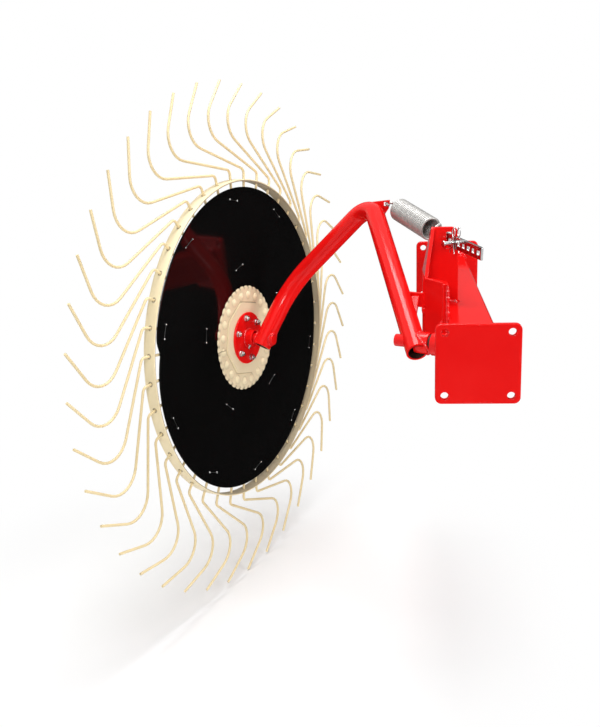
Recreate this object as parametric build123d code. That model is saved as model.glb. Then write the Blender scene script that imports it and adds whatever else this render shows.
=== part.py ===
from build123d import *
import os
from math import cos, pi, radians, sin, tan

# Finger-wheel unit of a wheel rake: a flanged beam section, a sprung swing arm and one raking wheel.
# World frame: origin at the centre of the near flange's outer face, +X right, +Y along the beam, +Z up.

# Beam and flanges
BEAM_SIZE = 100.0
BEAM_WALL = 6.0
BEAM_LENGTH = 918.0
FLANGE_WIDTH = 180.0
FLANGE_HEIGHT = 176.0
FLANGE_THICK = 12.0
FLANGE_CORNER = 14.0
BOLT_INSET_SIDE = 20.0
BOLT_INSET_TOP = 18.0
BOLT_HOLE = 17.0

# Swing pivot: the pin leaves the beam's left face turned towards the near flange
PIVOT_TURN = 23.9
PIVOT_AT = (-128.0, 151.0, 6.0)
PIN_DIA = 28.0
PIN_LEFT = -45.0
RUN_CLEAR = 0.05
BUSH_DIA = 49.0
BUSH_END = 41.0
BUSH_GAP = 0.6
BOSS_DIA = 52.0

# Arm tube
ARM_DIA = 50.0
ARM_WALL = 5.0
AXLE_TAIL = 22.0
PIVOT_TAIL = 34.0
END_BORE = 60.0
ARM_BEND = 62.0
ARM_KINK = 240.0
ARM_CORNER = (-221.0, 614.0, 254.0)
ARM_KNEE = (-448.1, 680.0, 13.5)

# Wheel placing
WHEEL_AT = (-580.1, 641.6, -122.7)
WHEEL_TURN = 23.9
WHEEL_LEAN = 2.5
ARM_AXIAL = 68.0

# Wheel sizes, axial places measured from the plane of the tines
AXLE_DIA = 30.0
AXLE_FRONT = 98.0
HEAD_DIA = 44.0
HEAD_THICK = 5.0
HUB_DIA = 47.0
HUB_FRONT = 38.0
HUB_REAR = -34.0
HEAD_GAP = 2.0
TINE_COUNT = 40
TINE_DIA = 7.0
TINE_SIDES = 6
SPOKE_START = 92.0
TIP_BACK = -30.0
CLAMP_RADIUS = 145.0
CLAMP_THICK = 5.0
OCTAGON_RADIUS = 105.0
OCTAGON_THICK = 2.5
OCTAGON_TURN = 22.5
HUB_FLANGE_RADIUS = 72.0
HUB_FLANGE_THICK = 5.0
RIM_RADIUS = 434.0
RIM_THICK = 5.0
RIM_WIDTH = 32.0
DISC_GAP = 15.5
DISC_THICK = 3.0

# Tine outline in the wheel plane at the root's own angle: sideways, outwards, bend radius
TINE_TABLE = (
    (0.0, SPOKE_START, 0.0),
    (0.0, RIM_RADIUS + 30.0, 14.0),
    (266.0, RIM_RADIUS + 94.0, 60.0),
    (181.0, RIM_RADIUS + 242.0, 0.0),
)
TINE_PHASE = 144.0
CHORD_TURN = 40.0

# Spring tower and stop box
TOWER_Y = 345.0
TOWER_THICK = 8.0
SLOT_AT = (-38.0, 200.0)
SLOT_SIZE = (12.0, 40.0)
LIP_FRONT = (325.0, 255.0)
LIP_TOP = (-80.0, 232.0)
LIP_FOOT = (-100.0, 129.0)
TOWER_FOOT = -45.0
TOWER_RIGHT = -15.0
BRACKET_FOOT = -40.0
PAD_TOP = 50.0
PAD_THICK = 12.0
PAD_REACH = -104.0
PAD_Y = (280.0, 304.0)

# Spring, its hook points and the adjusting strap
HOOK_AT = (-165.0, 582.0, 248.0)
SPRING_DIA = 60.0
SPRING_WIRE = 7.0
SPRING_SIDES = 24
LUG_REACH = 34.0
STRAP_REACH = 68.0
EYE_RADIUS = 12.0
STRAP_BACK = 22.0
STRAP_FRONT = 140.0
STRAP_HEIGHT = 30.0
STRAP_TILT = -5.5
STRAP_THICK = 6.0
STRAP_HOLE = 10.0
STRAP_PITCH = 20.0
PIN_HOLE = 5
CLEVIS_DIA = 9.6
CLEVIS_LENGTH = 46.0

# Lugs on the arm, seated against flats drawn round its tube
LUG_THICK = 10.0
SEAT_SIDES = 24
SEAT_TURN = 9.0
SEAT_GAP = 0.25
STOP_CLEAR = 0.5

HALF_BEAM = BEAM_SIZE / 2
PIVOT_DIR = Vector(cos(radians(PIVOT_TURN)), -sin(radians(PIVOT_TURN)), 0)
TRAIL_DIR = Vector(sin(radians(PIVOT_TURN)), cos(radians(PIVOT_TURN)), 0)
PIVOT = Plane(origin=PIVOT_AT, x_dir=TRAIL_DIR, z_dir=PIVOT_DIR)
LEAN = radians(WHEEL_LEAN)
TURN = radians(WHEEL_TURN)
AXLE_DIR = Vector(cos(TURN) * cos(LEAN), -sin(TURN) * cos(LEAN), sin(LEAN))
WHEEL = Plane(origin=WHEEL_AT, x_dir=(sin(TURN), cos(TURN), 0), z_dir=AXLE_DIR)
SLOT = Vector(SLOT_AT[0], TOWER_Y, SLOT_AT[1])
PULL_DIR = (SLOT - Vector(*HOOK_AT)).normalized()
PULL = Plane(origin=SLOT, x_dir=PULL_DIR, z_dir=Vector(0, 0, 1).cross(PULL_DIR).normalized())
TINE_HALF = TINE_DIA / 2


def rounded_path(points, radii):
    """Joins points with straight runs and gives each inner corner its bend radius."""
    edges = []
    start = points[0]
    for before, corner, after, radius in zip(points, points[1:], points[2:], radii):
        into = (corner - before).normalized()
        out = (after - corner).normalized()
        half = radians(into.get_angle(out)) / 2
        reach = radius * tan(half)
        first = corner - into * reach
        last = corner + out * reach
        inward = (out - into).normalized()
        middle = corner + inward * (radius / cos(half) - radius)
        edges.append(Line(start, first))
        edges.append(ThreePointArc(first, middle, last))
        start = last
    edges.append(Line(start, points[-1]))
    return Wire(edges)


def chord_points(points, radii, chord_turn):
    """Replaces each bend by short chords, for a light wire with flat facets."""
    found = [points[0]]
    for before, corner, after, radius in zip(points, points[1:], points[2:], radii):
        into = (corner - before).normalized()
        out = (after - corner).normalized()
        angle = radians(into.get_angle(out))
        reach = radius * tan(angle / 2)
        side = (out - into * into.dot(out)).normalized()
        centre = corner - into * reach + side * radius
        steps = max(2, round(angle * 180 / pi / chord_turn))
        for step in range(steps + 1):
            turned = angle * step / steps
            found.append(centre - side * (radius * cos(turned)) + into * (radius * sin(turned)))
    found.append(points[-1])
    return found


def ring(radius, bore, low, high):
    """A flat ring about the local Z axis."""
    body = Pos(0, 0, low) * extrude(Circle(radius) - Circle(bore), high - low)
    return body


def rod(plane, diameter, low, high):
    """A round bar along a plane's normal."""
    return plane.location * (Pos(0, 0, low) * extrude(Circle(diameter / 2), high - low))


def slab(points, low, high):
    """A plate from an outline in X and Z, between two Y values."""
    face = make_face(Polyline(*[(x, low, z) for x, z in points], close=True))
    return extrude(face, high - low, dir=(0, 1, 0))


def post(points, low, high):
    """A plate from an outline in X and Y, between two heights."""
    face = make_face(Polyline(*[(x, y, low) for x, y in points], close=True))
    return extrude(face, high - low, dir=(0, 0, 1))


def flange(front):
    """One bolting flange with four holes, its outer face at the given Y."""
    outline = RectangleRounded(FLANGE_WIDTH, FLANGE_HEIGHT, FLANGE_CORNER)
    across = FLANGE_WIDTH - 2 * BOLT_INSET_SIDE
    upright = FLANGE_HEIGHT - 2 * BOLT_INSET_TOP
    holes = GridLocations(across, upright, 2, 2) * Circle(BOLT_HOLE / 2)
    plate = extrude(outline - holes, FLANGE_THICK)
    return Pos(0, front, 0) * Rot(90, 0, 0) * plate


nodes = {}

# Beam
tube_low = FLANGE_THICK
tube_high = BEAM_LENGTH - FLANGE_THICK
inner = BEAM_SIZE - 2 * BEAM_WALL
tube_face = RectangleRounded(BEAM_SIZE, BEAM_SIZE, BEAM_WALL) - Rectangle(inner, inner)
nodes["beam_tube"] = Pos(0, tube_high, 0) * Rot(90, 0, 0) * extrude(tube_face, tube_high - tube_low)
nodes["near_flange"] = flange(FLANGE_THICK)
nodes["far_flange"] = flange(BEAM_LENGTH)

# Spring tower: a plate across the beam with a lip folded towards the near flange
tower_low = TOWER_Y - TOWER_THICK / 2
tower_high = TOWER_Y + TOWER_THICK / 2
tower_outline = (
    (LIP_FOOT[0], TOWER_FOOT),
    (-HALF_BEAM, TOWER_FOOT),
    (-HALF_BEAM, HALF_BEAM),
    (TOWER_RIGHT, HALF_BEAM),
    (TOWER_RIGHT, LIP_TOP[1] - 16),
    (TOWER_RIGHT - 2, LIP_TOP[1] - 8),
    (TOWER_RIGHT - 8, LIP_TOP[1] - 2),
    (TOWER_RIGHT - 16, LIP_TOP[1]),
    LIP_TOP,
    LIP_FOOT,
)
tower = slab(tower_outline, tower_low, tower_high)
slot = Pos(SLOT.X, SLOT.Y, SLOT.Z) * Box(SLOT_SIZE[0], 3 * TOWER_THICK, SLOT_SIZE[1])
lip_outline = (
    LIP_TOP,
    (LIP_TOP[0] + TOWER_THICK, LIP_TOP[1]),
    (LIP_FOOT[0] + TOWER_THICK, LIP_FOOT[1]),
    LIP_FOOT,
)
lip = slab(lip_outline, LIP_FRONT[1], tower_low + 1)
shear_outline = (
    (-200.0, LIP_FRONT[0], LIP_TOP[1]),
    (-200.0, LIP_FRONT[1], LIP_FOOT[1]),
    (-200.0, LIP_FRONT[1] - 60, LIP_FOOT[1]),
    (-200.0, LIP_FRONT[1] - 60, LIP_TOP[1] + 1),
    (-200.0, LIP_FRONT[0], LIP_TOP[1] + 1),
)
shear = extrude(make_face(Polyline(*shear_outline, close=True)), 200, dir=(1, 0, 0))
nodes["spring_tower"] = tower - slot + (lip - shear)

# Stop box: a slanted plate from the tower's lip to the beam's side, and a pad under the arm's lug
bracket_outline = (
    (LIP_FOOT[0], LIP_FRONT[1]),
    (-HALF_BEAM - 12, 206.0),
    (-HALF_BEAM - 12, 190.0),
    (-HALF_BEAM, 190.0),
    (-HALF_BEAM, 216.0),
    (LIP_FOOT[0] + TOWER_THICK, LIP_FRONT[1] + 4),
)
nodes["stop_bracket"] = post(bracket_outline, BRACKET_FOOT, LIP_FOOT[1])
pad_outline = (
    (PAD_REACH, PAD_Y[0]),
    (-HALF_BEAM, PAD_Y[0]),
    (-HALF_BEAM, PAD_Y[1]),
    (PAD_REACH, PAD_Y[1]),
)
nodes["stop_pad"] = post(pad_outline, PAD_TOP - PAD_THICK, PAD_TOP)

# Pivot pin and its boss, welded to the beam's left face
beam_side = Pos(-HALF_BEAM + 200, 300, 0) * Box(400, 1200, 400)
boss_low = BUSH_END + BUSH_GAP
boss_high = boss_low + 90
boss = rod(PIVOT, BOSS_DIA, boss_low, boss_high) - beam_side
pin = rod(PIVOT, PIN_DIA, PIN_LEFT, boss_high) - beam_side
nodes["pivot_boss"] = boss - pin
nodes["pivot_pin"] = pin

# Adjusting strap through the tower's slot, turned a little about the hole that the spring hooks into
strap = Pos((STRAP_FRONT - STRAP_BACK) / 2, 0, 0) * Box(STRAP_FRONT + STRAP_BACK, STRAP_HEIGHT, STRAP_THICK)
hole_count = int((STRAP_FRONT + STRAP_BACK - STRAP_PITCH) / STRAP_PITCH) + 1
for number in range(hole_count):
    strap -= Pos(STRAP_FRONT - STRAP_PITCH * (number + 0.6), 0, 0) * Box(STRAP_HOLE, STRAP_HOLE, 3 * STRAP_THICK)
strap_hook = STRAP_FRONT - STRAP_PITCH * (hole_count - 0.4)
strap_place = PULL.location * Pos(strap_hook, 0, 0) * Rot(0, 0, STRAP_TILT) * Pos(-strap_hook, 0, 0)
nodes["adjuster_strap"] = strap_place * strap
pin_at = STRAP_FRONT - STRAP_PITCH * (PIN_HOLE + 0.6)
clevis = extrude(Circle(CLEVIS_DIA / 2), CLEVIS_LENGTH / 2, both=True)
nodes["adjuster_pin"] = strap_place * (Pos(pin_at, 0, 0) * clevis)

# Tension spring: a close coil with a hook at each end, one through the lug and one through the strap
hook_span = (SLOT - Vector(*HOOK_AT)).length
coil_low = -hook_span + LUG_REACH
coil_high = strap_hook - STRAP_REACH
coil_mid = SPRING_DIA / 2 - SPRING_WIRE / 2
coil_outer = RegularPolygon(SPRING_DIA / 2, SPRING_SIDES)
coil_inner = RegularPolygon(SPRING_DIA / 2 - SPRING_WIRE, SPRING_SIDES)
spring = Pos(coil_low, 0, 0) * Rot(0, 90, 0) * extrude(coil_outer - coil_inner, coil_high - coil_low)
hooks = (
    (coil_low + SPRING_WIRE, -hook_span - EYE_RADIUS, 1),
    (coil_high - SPRING_WIRE, strap_hook - EYE_RADIUS, -1),
)
for start, eye, side in hooks:
    hook_points = [Vector(start, coil_mid, 0), Vector(start, 0, 0)]
    for turned in range(0, 331, 30):
        bend_x = eye + side * EYE_RADIUS * cos(radians(turned))
        hook_points.append(Vector(bend_x, 0, EYE_RADIUS * sin(radians(turned))))
    hook_plane = Plane(origin=hook_points[0], x_dir=(1, 0, 0), z_dir=(0, -1, 0))
    hook_face = hook_plane * RegularPolygon(SPRING_WIRE / 2, 6)
    spring += sweep(hook_face, path=Polyline(*hook_points), transition=Transition.RIGHT)
nodes["tension_spring"] = PULL.location * spring

# Arm tube from the wheel axle up to the bend and down to the pivot
axle_at = Vector(*WHEEL_AT) + AXLE_DIR * ARM_AXIAL
knee = Vector(*ARM_KNEE)
corner = Vector(*ARM_CORNER)
pivot_at = Vector(*PIVOT_AT)
arm_points = (
    axle_at + (axle_at - knee).normalized() * AXLE_TAIL,
    knee,
    corner,
    pivot_at + (pivot_at - corner).normalized() * PIVOT_TAIL,
)
arm_path = rounded_path(arm_points, (ARM_KINK, ARM_BEND))
arm_ends = [
    Plane(origin=arm_points[0], z_dir=arm_points[1] - arm_points[0]),
    Plane(origin=arm_points[3], z_dir=arm_points[2] - arm_points[3]),
]
arm_solid = sweep(arm_ends[0] * Circle(ARM_DIA / 2), path=arm_path)
end_bores = [rod(plane, ARM_DIA - 2 * ARM_WALL, 0, END_BORE) for plane in arm_ends]
seat_path = Polyline(*chord_points(arm_points, (ARM_KINK, ARM_BEND), SEAT_TURN))
seat_face = arm_ends[0] * RegularPolygon(ARM_DIA / 2 + SEAT_GAP, SEAT_SIDES, False)
arm_seat = sweep(seat_face, path=seat_path, transition=Transition.RIGHT)
pin_bore = rod(PIVOT, PIN_DIA + 2 * RUN_CLEAR, -200, BUSH_END)
axle_bar = rod(WHEEL, AXLE_DIA, HUB_REAR - HEAD_GAP, AXLE_FRONT)
nodes["arm_tube"] = arm_solid - end_bores - pin_bore - axle_bar
nodes["arm_bush"] = rod(PIVOT, BUSH_DIA, 4, BUSH_END) - arm_seat - pin_bore

# Lugs on the arm, drawn in the pivot's own frame: trail, height, along the pin
lug_trail = 134.0
lug_right = -30.0
pad_up = PAD_TOP - PIVOT_AT[2]
lug_outline = (
    (-96.0, pad_up + 34),
    (lug_right, pad_up + 34),
    (lug_right, pad_up + STOP_CLEAR),
    (lug_right - 26, pad_up + STOP_CLEAR),
    (lug_right - 38, pad_up + 14),
    (-96.0, pad_up + 14),
)
lug_face = make_face(Polyline(*[(lug_trail, up, along) for along, up in lug_outline], close=True))
lug = extrude(lug_face, LUG_THICK, dir=(1, 0, 0))
nodes["stop_lug"] = PIVOT.location * lug - arm_seat
strut_ends = ((lug_trail, pad_up + 24, lug_right - 22), (40.0, 14.0, -28.0))
strut_start = Vector(*strut_ends[0])
strut_run = Vector(*strut_ends[1]) - strut_start
strut_plane = Plane(origin=strut_start, x_dir=(0, 0, 1), z_dir=strut_run)
strut = strut_plane.location * extrude(Rectangle(24, LUG_THICK * 0.8), strut_run.length)
nodes["stop_strut"] = PIVOT.location * (strut - lug) - arm_seat

eye_mid = Vector(*HOOK_AT) - PULL_DIR * EYE_RADIUS
eye_x = eye_mid.X - EYE_RADIUS
eye_y = eye_mid.Y
eye_z = eye_mid.Z + 1
spring_lug_outline = (
    (eye_x - 56, eye_z - 5),
    (eye_x - 34, eye_z + 6),
    (eye_x + 10, eye_z + 10),
    (eye_x + 7, eye_z - 11),
    (eye_x - 7, eye_z - 32),
    (eye_x - 56, eye_z - 36),
)
spring_lug = slab(spring_lug_outline, eye_y - LUG_THICK / 2, eye_y + LUG_THICK / 2)
lug_hole = Pos(eye_x, eye_y, eye_z) * Box(2 * SPRING_WIRE - 3, 3 * LUG_THICK, 2 * SPRING_WIRE - 3)
nodes["spring_lug"] = spring_lug - lug_hole - arm_seat

# Wheel axle, fixed in the arm, with a head behind the hub
head = rod(WHEEL, HEAD_DIA, HUB_REAR - HEAD_GAP - HEAD_THICK, HUB_REAR - HEAD_GAP)
nodes["wheel_axle"] = axle_bar + head

# Hub and plates
front_face = TINE_HALF
octagon_low = front_face + CLAMP_THICK
flange_low = octagon_low + OCTAGON_THICK
hub_radius = HUB_DIA / 2
wheel_nodes = {}
wheel_nodes["hub_tube"] = ring(hub_radius, AXLE_DIA / 2 + RUN_CLEAR, HUB_REAR, HUB_FRONT)
hub_face = Circle(HUB_FLANGE_RADIUS) - Circle(hub_radius)
wheel_nodes["hub_flange"] = Pos(0, 0, flange_low) * extrude(hub_face, HUB_FLANGE_THICK)
octagon_face = RegularPolygon(OCTAGON_RADIUS, 8, rotation=OCTAGON_TURN) - Circle(hub_radius)
wheel_nodes["hub_octagon"] = Pos(0, 0, octagon_low) * extrude(octagon_face, OCTAGON_THICK)
clamp_outline = RegularPolygon(CLAMP_RADIUS, TINE_COUNT)
clamp_face = clamp_outline - Circle(hub_radius)
wheel_nodes["clamp_plate_front"] = Pos(0, 0, front_face) * extrude(clamp_face, CLAMP_THICK)
wheel_nodes["clamp_plate_rear"] = Pos(0, 0, -front_face - CLAMP_THICK) * extrude(clamp_face, CLAMP_THICK)
disc_face = Circle(RIM_RADIUS - RIM_THICK / 2 - DISC_GAP) - clamp_outline
wheel_nodes["wind_disc"] = Pos(0, 0, front_face) * extrude(disc_face, DISC_THICK)

# Tines: a radial spoke, a hook outside the rim and a tip that leans back
runs = [row for row in TINE_TABLE]
tine_points = [Vector(-x, y, 0) for x, y, bend in runs]
tine_radii = [bend for x, y, bend in runs[1:-1]]
flat = chord_points(tine_points, tine_radii, CHORD_TURN)
lengths = [0.0]
for one, two in zip(flat, flat[1:]):
    lengths.append(lengths[-1] + (two - one).length)
hook_start = lengths[1]
dropped = []
for point, length in zip(flat, lengths):
    share = max(0.0, length - hook_start) / (lengths[-1] - hook_start)
    dropped.append(Vector(point.X, point.Y, TIP_BACK * share))
section_plane = Plane(origin=dropped[0], x_dir=(1, 0, 0), z_dir=dropped[1] - dropped[0])
section = section_plane * RegularPolygon(TINE_HALF, TINE_SIDES, False, rotation=90 - 180 / TINE_SIDES)
tine = sweep(section, path=Polyline(*dropped), transition=Transition.RIGHT)
step = 360 / TINE_COUNT
tines = [Rot(0, 0, TINE_PHASE - 90 - step * number) * tine for number in range(TINE_COUNT)]
rim_turn = TINE_PHASE + step / 4
rim_outer = RegularPolygon(RIM_RADIUS + RIM_THICK / 2, 2 * TINE_COUNT, False, rotation=rim_turn)
rim_inner = RegularPolygon(RIM_RADIUS - RIM_THICK / 2, 2 * TINE_COUNT, False, rotation=rim_turn)
hoop = extrude(rim_outer - rim_inner, RIM_WIDTH / 2, both=True)
wheel_nodes["rim_hoop"] = hoop - tines
wheel_nodes["tines"] = Compound(children=tines)

for name, piece in wheel_nodes.items():
    nodes[name] = WHEEL.location * piece

os.makedirs("parts", exist_ok=True)
for name, piece in nodes.items():
    export_step(piece, f"parts/{name}.step")
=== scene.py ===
"""Looks of one finger-wheel unit of a wheel rake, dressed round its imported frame.

Sizes are in millimetres in the row frame: origin on the near flange's outer face, +X right,
+Y along the beam away from the camera, +Z up. Meshes are written in metres.
"""

import logging
import math
from collections.abc import Iterable, Sequence
from dataclasses import dataclass
from enum import Enum

import bmesh
import bpy
import numpy as np
from mathutils import Matrix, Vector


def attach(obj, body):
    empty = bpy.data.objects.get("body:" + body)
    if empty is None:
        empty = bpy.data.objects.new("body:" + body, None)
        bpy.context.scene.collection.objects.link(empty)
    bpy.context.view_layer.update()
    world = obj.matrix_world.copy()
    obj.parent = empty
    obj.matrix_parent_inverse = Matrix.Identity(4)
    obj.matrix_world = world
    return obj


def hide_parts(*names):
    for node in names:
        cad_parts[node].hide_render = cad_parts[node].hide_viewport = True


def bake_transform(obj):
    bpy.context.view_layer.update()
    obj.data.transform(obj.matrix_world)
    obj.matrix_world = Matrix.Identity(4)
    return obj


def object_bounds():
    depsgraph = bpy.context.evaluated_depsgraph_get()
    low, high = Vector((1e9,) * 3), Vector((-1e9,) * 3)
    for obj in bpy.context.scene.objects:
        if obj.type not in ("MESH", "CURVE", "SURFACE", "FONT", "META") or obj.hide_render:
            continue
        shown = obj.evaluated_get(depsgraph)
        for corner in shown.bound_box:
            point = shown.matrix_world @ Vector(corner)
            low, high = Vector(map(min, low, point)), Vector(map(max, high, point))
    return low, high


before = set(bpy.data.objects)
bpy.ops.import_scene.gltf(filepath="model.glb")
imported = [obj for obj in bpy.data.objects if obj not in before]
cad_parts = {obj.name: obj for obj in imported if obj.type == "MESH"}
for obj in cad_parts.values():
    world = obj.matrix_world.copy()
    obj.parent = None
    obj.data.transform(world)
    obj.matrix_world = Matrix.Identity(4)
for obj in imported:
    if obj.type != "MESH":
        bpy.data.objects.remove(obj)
CAD_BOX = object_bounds()

Pair = tuple[float, float]
Triple = tuple[float, float, float]
Values = np.ndarray | float
Socket = bpy.types.NodeSocket

MM = 0.001
TURN = 2 * math.pi
RIGHT_ANGLE = math.pi / 2
X_AXIS, Y_AXIS, Z_AXIS = np.eye(3)
LOG = logging.getLogger("finger_wheel_unit")


class Body(Enum):
    """The moving bodies of the unit, by their names in the frame."""

    BEAM = "beam"
    ARM = "arm"
    WHEEL = "wheel"


class Slot(Enum):
    """The record's material slots."""

    RED = "red_paint"
    CREAM = "cream_paint"
    BLACK = "black_plastic"
    ZINC = "zinc"


class Grain(Enum):
    """The pattern that breaks up a finish."""

    CLOUD = "cloud"
    SPANGLE = "spangle"


def unit(vector: Sequence[float]) -> np.ndarray:
    """Returns a vector at length one."""
    array = np.asarray(vector, float)
    return array / np.linalg.norm(array, axis=-1, keepdims=True)


@dataclass(frozen=True)
class Place:
    """A right-handed local frame set in the row frame, in millimetres."""

    origin: Triple
    x_axis: Triple
    z_axis: Triple

    @property
    def axes(self) -> np.ndarray:
        """Rows are the local x, y and z directions."""
        x_dir, z_dir = unit(self.x_axis), unit(self.z_axis)
        return np.stack([x_dir, np.cross(z_dir, x_dir), z_dir])

    def out(self, points: np.ndarray | Sequence[float]) -> np.ndarray:
        """Carries local points into the row frame: origin + x X + y Y + z Z."""
        return np.asarray(self.origin, float) + np.asarray(points, float) @ self.axes

    def moved(self, shift: Sequence[float], turn: float = 0.0) -> "Place":
        """A like frame at a local point, turned about its own z axis.

        Args:
            shift: the new origin in local coordinates.
            turn: angle of the turn in radians.

        Returns:
            The new frame.
        """
        x_dir, y_dir, z_dir = self.axes
        turned = math.cos(turn) * x_dir + math.sin(turn) * y_dir
        return Place(tuple(self.out(shift)), tuple(turned), tuple(z_dir))


PIVOT_TURN = math.radians(23.9)
LEAN = math.radians(2.5)
TRAIL = (math.sin(PIVOT_TURN), math.cos(PIVOT_TURN), 0.0)
ACROSS = (math.cos(PIVOT_TURN), -math.sin(PIVOT_TURN), 0.0)
AXLE = (ACROSS[0] * math.cos(LEAN), ACROSS[1] * math.cos(LEAN), math.sin(LEAN))
PIVOT = Place((-128.0, 151.0, 6.0), TRAIL, ACROSS)
WHEEL = Place((-580.1, 641.6, -122.7), TRAIL, AXLE)
SLOT_POINT = np.array((-38.0, 345.0, 200.0))
HOOK_POINT = np.array((-165.0, 582.0, 248.0))
PULL_RUN = SLOT_POINT - HOOK_POINT
PULL = Place(tuple(SLOT_POINT), tuple(PULL_RUN), (-PULL_RUN[1], PULL_RUN[0], 0.0))
STRAP_HOOK = -12.0
STRAP_TILT = math.radians(-5.5)
STRAP = PULL.moved((STRAP_HOOK, 0.0, 0.0), STRAP_TILT)


@dataclass
class Surface:
    """A mesh as whole arrays: points in millimetres, faces as index rows, a share of painted shade at each
    point.
    """

    points: np.ndarray
    faces: list[list[int]]
    seam: np.ndarray | None = None

    @classmethod
    def joined(cls, parts: Iterable["Surface"]) -> "Surface":
        """Puts surfaces into one, each one's indices moved past those before it.

        Args:
            parts: the surfaces, in order.

        Returns:
            One surface without painted shade.
        """
        points: list[np.ndarray] = []
        faces: list[list[int]] = []
        count = 0
        for part in parts:
            points.append(part.points)
            faces += [[index + count for index in face] for face in part.faces]
            count += len(part.points)
        return cls(np.concatenate(points), faces)

    def outward(self) -> "Surface":
        """Turns the faces round if the signed volume, sum of a.(b x c)/6, is negative.

        Returns:
            The surface with its faces outwards.
        """
        volume = 0.0
        centre = self.points.mean(0)
        for size in {len(face) for face in self.faces}:
            corner = self.points[np.array([face for face in self.faces if len(face) == size])] - centre
            for step in range(1, size - 1):
                crossed = np.cross(corner[:, step], corner[:, step + 1])
                volume += float((corner[:, 0] * crossed).sum())
        if volume < 0:
            return Surface(self.points, [face[::-1] for face in self.faces], self.seam)
        return self


def ramp(value: np.ndarray, start: float, reach: float) -> np.ndarray:
    """Nought up to a start, then an even rise to one over a reach."""
    return np.clip((value - start) / reach, 0, 1)


def peak(value: np.ndarray, reach: float) -> np.ndarray:
    """One where a value is nought, falling evenly to nought at a reach on both sides."""
    return np.clip(1 - np.abs(value) / reach, 0, 1)


def circle(sides: int) -> np.ndarray:
    """Angles of a full turn cut into equal sides."""
    return np.arange(sides) * TURN / sides


def round_points(radius: Values, angle: Values, height: Values) -> np.ndarray:
    """Points (r cos a, r sin a, z) of radius, angle and height arrays that broadcast together."""
    r, a, z = np.broadcast_arrays(radius, angle, height)
    return np.stack([r * np.cos(a), r * np.sin(a), z], -1)


def grid_faces(rows: int, columns: int, wrap_rows: bool, wrap_columns: bool) -> np.ndarray:
    """Quads of a grid of points, from index arrays.

    Args:
        rows: points in the first direction.
        columns: points in the second direction.
        wrap_rows: whether the last row joins the first.
        wrap_columns: whether the last column joins the first.

    Returns:
        One row of four indices per quad.
    """
    row = np.arange(rows if wrap_rows else rows - 1)
    column = np.arange(columns if wrap_columns else columns - 1)
    i, j = (part.ravel() for part in np.meshgrid(row, column, indexing="ij"))
    k, m = (i + 1) % rows, (j + 1) % columns
    return np.stack([i * columns + j, i * columns + m, k * columns + m, k * columns + j], 1)


def loft(rings: np.ndarray, closed: bool = False) -> Surface:
    """Skins a stack of rings: P(i, j) is point j of ring i.

    Args:
        rings: array of shape (rings, points, 3).
        closed: whether the last ring joins the first, else both ends get a cap.

    Returns:
        The closed surface, faces outwards.
    """
    count, around = rings.shape[:2]
    faces = grid_faces(count, around, closed, True).tolist()
    if not closed:
        first = list(range(around))
        faces += [first[::-1], [index + (count - 1) * around for index in first]]
    return Surface(rings.reshape(-1, 3), faces).outward()


def path_frames(path: np.ndarray, side: np.ndarray) -> tuple[np.ndarray, np.ndarray, np.ndarray]:
    """Tangent, first normal and second normal along a path.

    The tangent is the path's gradient, the first normal is tangent x side and the second closes the frame.

    Args:
        path: points of shape (n, 3).
        side: a direction that the path never runs along.

    Returns:
        Three arrays of shape (n, 3).
    """
    tangent = unit(np.gradient(path, axis=0))
    normal = unit(np.cross(tangent, np.broadcast_to(side, path.shape)))
    return tangent, normal, np.cross(tangent, normal)


def path_rings(
    centre: np.ndarray, radius: np.ndarray, normal: np.ndarray, binormal: np.ndarray, sides: int
) -> np.ndarray:
    """Rings round a centre line: P(i, a) = c(i) + r(i) (cos a n(i) + sin a b(i)).

    Args:
        centre: centres of the rings, shape (n, 3).
        radius: radius of each ring.
        normal: first normal of each ring.
        binormal: second normal of each ring.
        sides: points on a ring.

    Returns:
        Array of shape (n, sides, 3).
    """
    angle = circle(sides)[None, :, None]
    spread = np.cos(angle) * normal[:, None] + np.sin(angle) * binormal[:, None]
    return centre[:, None] + radius[:, None, None] * spread


def tube(path: np.ndarray, radius: Values, sides: int, side: np.ndarray) -> Surface:
    """Carries a circle along a path, as path_rings does.

    Args:
        path: points of shape (n, 3).
        radius: one radius, or one for each point.
        sides: sides of the circle.
        side: a direction that the path never runs along.

    Returns:
        A capped tube.
    """
    _, normal, binormal = path_frames(path, side)
    reach = np.broadcast_to(np.asarray(radius, float), (len(path),))
    return loft(path_rings(path, reach, normal, binormal, sides))


def sleeve(
    path: np.ndarray, outer: float, inner: float, edge: float, sides: int, side: np.ndarray
) -> Surface:
    """A pipe with a bore: the outer skin runs out, turns over a small edge radius and the bore runs back.

    Args:
        path: centre line of shape (n, 3).
        outer: outer radius.
        inner: bore radius.
        edge: radius of the end's edges.
        sides: sides of the section.
        side: a direction that the path never runs along.

    Returns:
        A closed pipe.
    """
    tangent, normal, binormal = path_frames(path, side)
    last = len(path) - 1
    middle = np.arange(1, last)
    start = ((0, 0.0, inner + edge), (0, 0.0, outer - edge), (0, edge, outer))
    turn = ((last, -edge, outer), (last, 0.0, outer - edge), (last, 0.0, inner + edge), (last, -edge, inner))
    skin = np.stack([middle, 0.0 * middle, 0.0 * middle + outer], 1)
    bore = np.stack([middle[::-1], 0.0 * middle, 0.0 * middle + inner], 1)
    rows = np.concatenate([start, skin, turn, bore, [(0, edge, inner)]])
    station = rows[:, 0].astype(int)
    centre = path[station] + rows[:, 1:2] * tangent[station]
    return loft(path_rings(centre, rows[:, 2], normal[station], binormal[station], sides), closed=True)


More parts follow.
